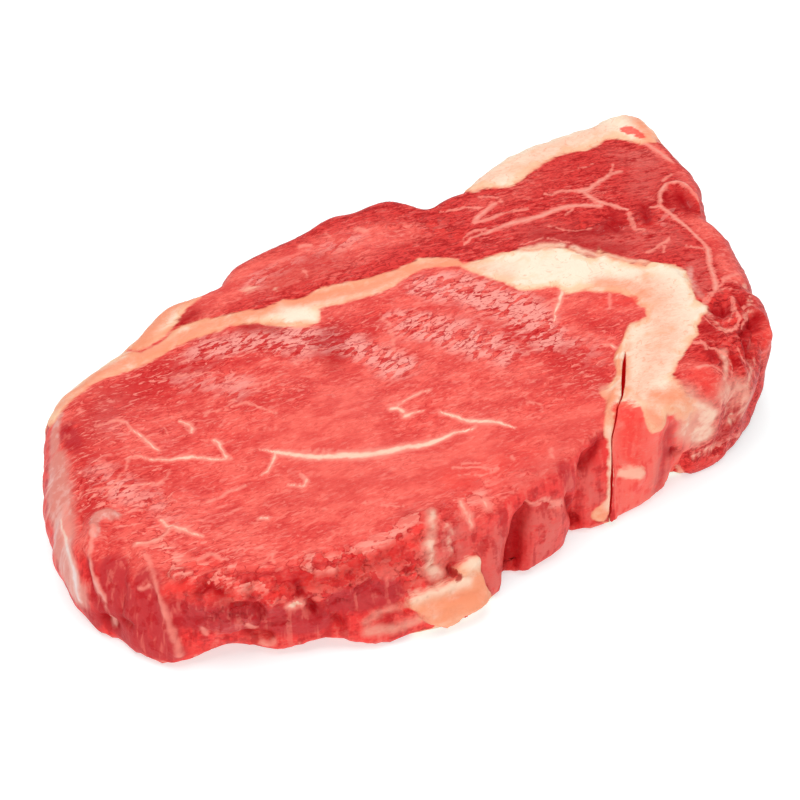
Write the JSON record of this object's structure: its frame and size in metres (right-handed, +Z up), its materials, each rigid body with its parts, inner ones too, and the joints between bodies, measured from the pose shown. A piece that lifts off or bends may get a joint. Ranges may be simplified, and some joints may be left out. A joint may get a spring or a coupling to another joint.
{
  "type": "ribeye steak",
  "caption": "Raw boneless ribeye steak: a thick slice with a round eye, a curved cap, a fat seam with a kernel between them, back fat and a torn front rim.",
  "frame": {"origin": "centre of the bounding box's underside, on the surface that the steak lies on", "axes": "+X along the slice, from the rounded end of the eye to the corner with the back fat; +Y across it, from the torn front rim to the back; +Z up, through the slice's thickness"},
  "size_m": [0.188, 0.1086, 0.0284],
  "materials": {
    "eye_lean": "moist raw lean beef, bright red, wet sheen",
    "cap_lean": "moist raw lean beef, darker red, wet sheen",
    "rib_lean": "moist raw lean beef, bright red, wet sheen",
    "seam_fat": "raw beef fat, cream, softly shiny",
    "back_fat": "raw beef fat, warm cream, softly shiny",
    "edge_fat": "raw beef fat, pinkish cream, softly shiny"
  },
  "bodies": {
    "root": {"eye_muscle": "eye_lean", "cap_muscle": "cap_lean", "rib_meat": "rib_lean", "seam_fat": "seam_fat", "back_fat": "back_fat", "edge_fat": "edge_fat"}
  },
  "joints": []
}
